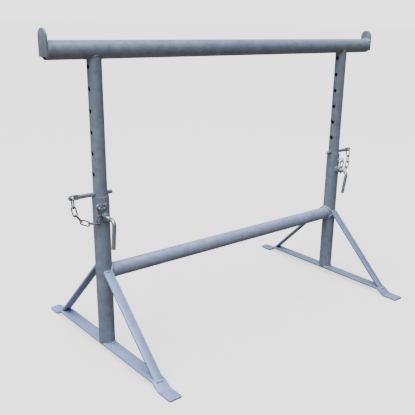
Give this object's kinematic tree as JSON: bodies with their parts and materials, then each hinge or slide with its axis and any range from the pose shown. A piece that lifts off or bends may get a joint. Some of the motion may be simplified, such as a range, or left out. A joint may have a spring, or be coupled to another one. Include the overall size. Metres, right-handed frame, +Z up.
{
  "type": "builders trestle",
  "caption": "Adjustable steel builders trestle: a round beam with end stops on perforated telescopic legs, held by chained pins and clamp screws, on braced flat feet.",
  "frame": {"origin": "On the floor, below the middle of the beam and midway between the front and rear ends of the feet.", "axes": "+X along the beam, +Y from the front (the side of the locking screws) to the back, +Z up."},
  "size_m": [1.282, 0.71, 0.9283],
  "materials": {
    "galvanised_tube": "hot-dip galvanised, matt, faintly mottled, blue-grey",
    "galvanised_flat": "hot-dip galvanised, matt, pale grey",
    "bright_zinc": "zinc plated, satin"
  },
  "bodies": {
    "base": {"left_leg": "galvanised_tube", "right_leg": "galvanised_tube", "left_foot_bar": "galvanised_flat", "right_foot_bar": "galvanised_flat", "left_front_brace": "galvanised_flat", "left_rear_brace": "galvanised_flat", "right_front_brace": "galvanised_flat", "right_rear_brace": "galvanised_flat", "stretcher": "galvanised_tube", "left_screw_nut": "bright_zinc", "right_screw_nut": "bright_zinc", "left_chain_anchor": "bright_zinc", "right_chain_anchor": "bright_zinc"},
    "head": {"top_beam": "galvanised_tube", "left_end_stop": "galvanised_flat", "right_end_stop": "galvanised_flat", "left_inner_leg": "galvanised_tube", "right_inner_leg": "galvanised_tube"},
    "left_pin": {"left_pin": "bright_zinc"},
    "left_locking_screw": {"left_locking_screw": "bright_zinc"},
    "left_pin_link": {"left_pin_link": "bright_zinc"},
    "left_chain_link_1": {"left_chain_link_1": "bright_zinc"},
    "left_chain_link_2": {"left_chain_link_2": "bright_zinc"},
    "left_chain_link_3": {"left_chain_link_3": "bright_zinc"},
    "left_chain_link_4": {"left_chain_link_4": "bright_zinc"},
    "left_chain_link_5": {"left_chain_link_5": "bright_zinc"},
    "left_chain_link_6": {"left_chain_link_6": "bright_zinc"},
    "right_pin": {"right_pin": "bright_zinc"},
    "right_locking_screw": {"right_locking_screw": "bright_zinc"},
    "right_pin_link": {"right_pin_link": "bright_zinc"},
    "right_chain_link_1": {"right_chain_link_1": "bright_zinc"},
    "right_chain_link_2": {"right_chain_link_2": "bright_zinc"},
    "right_chain_link_3": {"right_chain_link_3": "bright_zinc"},
    "right_chain_link_4": {"right_chain_link_4": "bright_zinc"},
    "right_chain_link_5": {"right_chain_link_5": "bright_zinc"},
    "right_chain_link_6": {"right_chain_link_6": "bright_zinc"}
  },
  "joints": [
    {"name": "head_lift", "type": "slide", "parent": "base", "child": "head", "axis": [0, 0, 1], "range_m": [0, 0.006]},
    {"name": "left_pin_pull", "type": "slide", "parent": "head", "child": "left_pin", "axis": [-1, 0, 0], "range_m": [0, 0.058]},
    {"name": "left_screw_turn", "type": "hinge", "parent": "base", "child": "left_locking_screw", "pos_m": [-0.5, -0.02415, 0.424], "axis": [0, -1, 0], "range_deg": [0, 540]},
    {"name": "left_pin_link_swing", "type": "hinge", "parent": "left_pin", "child": "left_pin_link", "pos_m": [-0.58615, 0, 0.4872], "axis": [0, 1, 0], "range_deg": [-43, 0]},
    {"name": "left_chain_link_1_swing", "type": "hinge", "parent": "base", "child": "left_chain_link_1", "pos_m": [-0.52304, -0.02755, 0.45643], "axis": [0, 1, 0], "range_deg": [0, 39]},
    {"name": "left_chain_link_2_swing", "type": "hinge", "parent": "left_chain_link_1", "child": "left_chain_link_2", "pos_m": [-0.51818, -0.02755, 0.42886], "axis": [0, 1, 0], "range_deg": [0, 7]},
    {"name": "left_chain_link_3_swing", "type": "hinge", "parent": "left_chain_link_2", "child": "left_chain_link_3", "pos_m": [-0.5243, -0.02424, 0.41204], "axis": [0, 1, 0], "range_deg": [-28, 0]},
    {"name": "left_chain_link_4_swing", "type": "hinge", "parent": "left_chain_link_3", "child": "left_chain_link_4", "pos_m": [-0.55151, -0.01763, 0.41204], "axis": [0, 1, 0], "range_deg": [-18, 0]},
    {"name": "left_chain_link_5_swing", "type": "hinge", "parent": "left_chain_link_4", "child": "left_chain_link_5", "pos_m": [-0.56744, -0.01295, 0.41947], "axis": [0, 1, 0], "range_deg": [-6, 0]},
    {"name": "left_chain_link_6_swing", "type": "hinge", "parent": "left_chain_link_5", "child": "left_chain_link_6", "pos_m": [-0.58305, -0.00634, 0.44176], "axis": [0, 1, 0], "range_deg": [-28, 0]},
    {"name": "right_pin_pull", "type": "slide", "parent": "head", "child": "right_pin", "axis": [1, 0, 0], "range_m": [0, 0.058]},
    {"name": "right_screw_turn", "type": "hinge", "parent": "base", "child": "right_locking_screw", "pos_m": [0.5, -0.02415, 0.424], "axis": [0, -1, 0], "range_deg": [0, 540]},
    {"name": "right_pin_link_swing", "type": "hinge", "parent": "right_pin", "child": "right_pin_link", "pos_m": [0.58615, 0, 0.4872], "axis": [0, 1, 0], "range_deg": [0, 43]},
    {"name": "right_chain_link_1_swing", "type": "hinge", "parent": "base", "child": "right_chain_link_1", "pos_m": [0.52304, -0.02755, 0.45643], "axis": [0, 1, 0], "range_deg": [-39, 0]},
    {"name": "right_chain_link_2_swing", "type": "hinge", "parent": "right_chain_link_1", "child": "right_chain_link_2", "pos_m": [0.51818, -0.02755, 0.42886], "axis": [0, 1, 0], "range_deg": [-7, 0]},
    {"name": "right_chain_link_3_swing", "type": "hinge", "parent": "right_chain_link_2", "child": "right_chain_link_3", "pos_m": [0.5243, -0.02424, 0.41204], "axis": [0, 1, 0], "range_deg": [0, 28]},
    {"name": "right_chain_link_4_swing", "type": "hinge", "parent": "right_chain_link_3", "child": "right_chain_link_4", "pos_m": [0.55151, -0.01763, 0.41204], "axis": [0, 1, 0], "range_deg": [0, 18]},
    {"name": "right_chain_link_5_swing", "type": "hinge", "parent": "right_chain_link_4", "child": "right_chain_link_5", "pos_m": [0.56744, -0.01295, 0.41947], "axis": [0, 1, 0], "range_deg": [0, 6]},
    {"name": "right_chain_link_6_swing", "type": "hinge", "parent": "right_chain_link_5", "child": "right_chain_link_6", "pos_m": [0.58305, -0.00634, 0.44176], "axis": [0, 1, 0], "range_deg": [0, 28]}
  ],
  "couplings": [
    {"joint": "left_pin_link_swing", "follows": "left_pin_pull", "rad_per_m": -12.689},
    {"joint": "left_chain_link_1_swing", "follows": "left_pin_pull", "rad_per_m": 11.659},
    {"joint": "left_chain_link_2_swing", "follows": "head_lift", "rad_per_m": 18.047},
    {"joint": "left_chain_link_3_swing", "follows": "left_pin_pull", "rad_per_m": -8.255},
    {"joint": "left_chain_link_4_swing", "follows": "left_pin_pull", "rad_per_m": -5.219},
    {"joint": "left_chain_link_5_swing", "follows": "head_lift", "rad_per_m": -16.72},
    {"joint": "left_chain_link_6_swing", "follows": "left_pin_pull", "rad_per_m": -8.343},
    {"joint": "right_pin_link_swing", "follows": "right_pin_pull", "rad_per_m": 12.689},
    {"joint": "right_chain_link_1_swing", "follows": "right_pin_pull", "rad_per_m": -11.659},
    {"joint": "right_chain_link_2_swing", "follows": "head_lift", "rad_per_m": -18.047},
    {"joint": "right_chain_link_3_swing", "follows": "right_pin_pull", "rad_per_m": 8.255},
    {"joint": "right_chain_link_4_swing", "follows": "right_pin_pull", "rad_per_m": 5.219},
    {"joint": "right_chain_link_5_swing", "follows": "head_lift", "rad_per_m": 16.72},
    {"joint": "right_chain_link_6_swing", "follows": "right_pin_pull", "rad_per_m": 8.343}
  ]
}
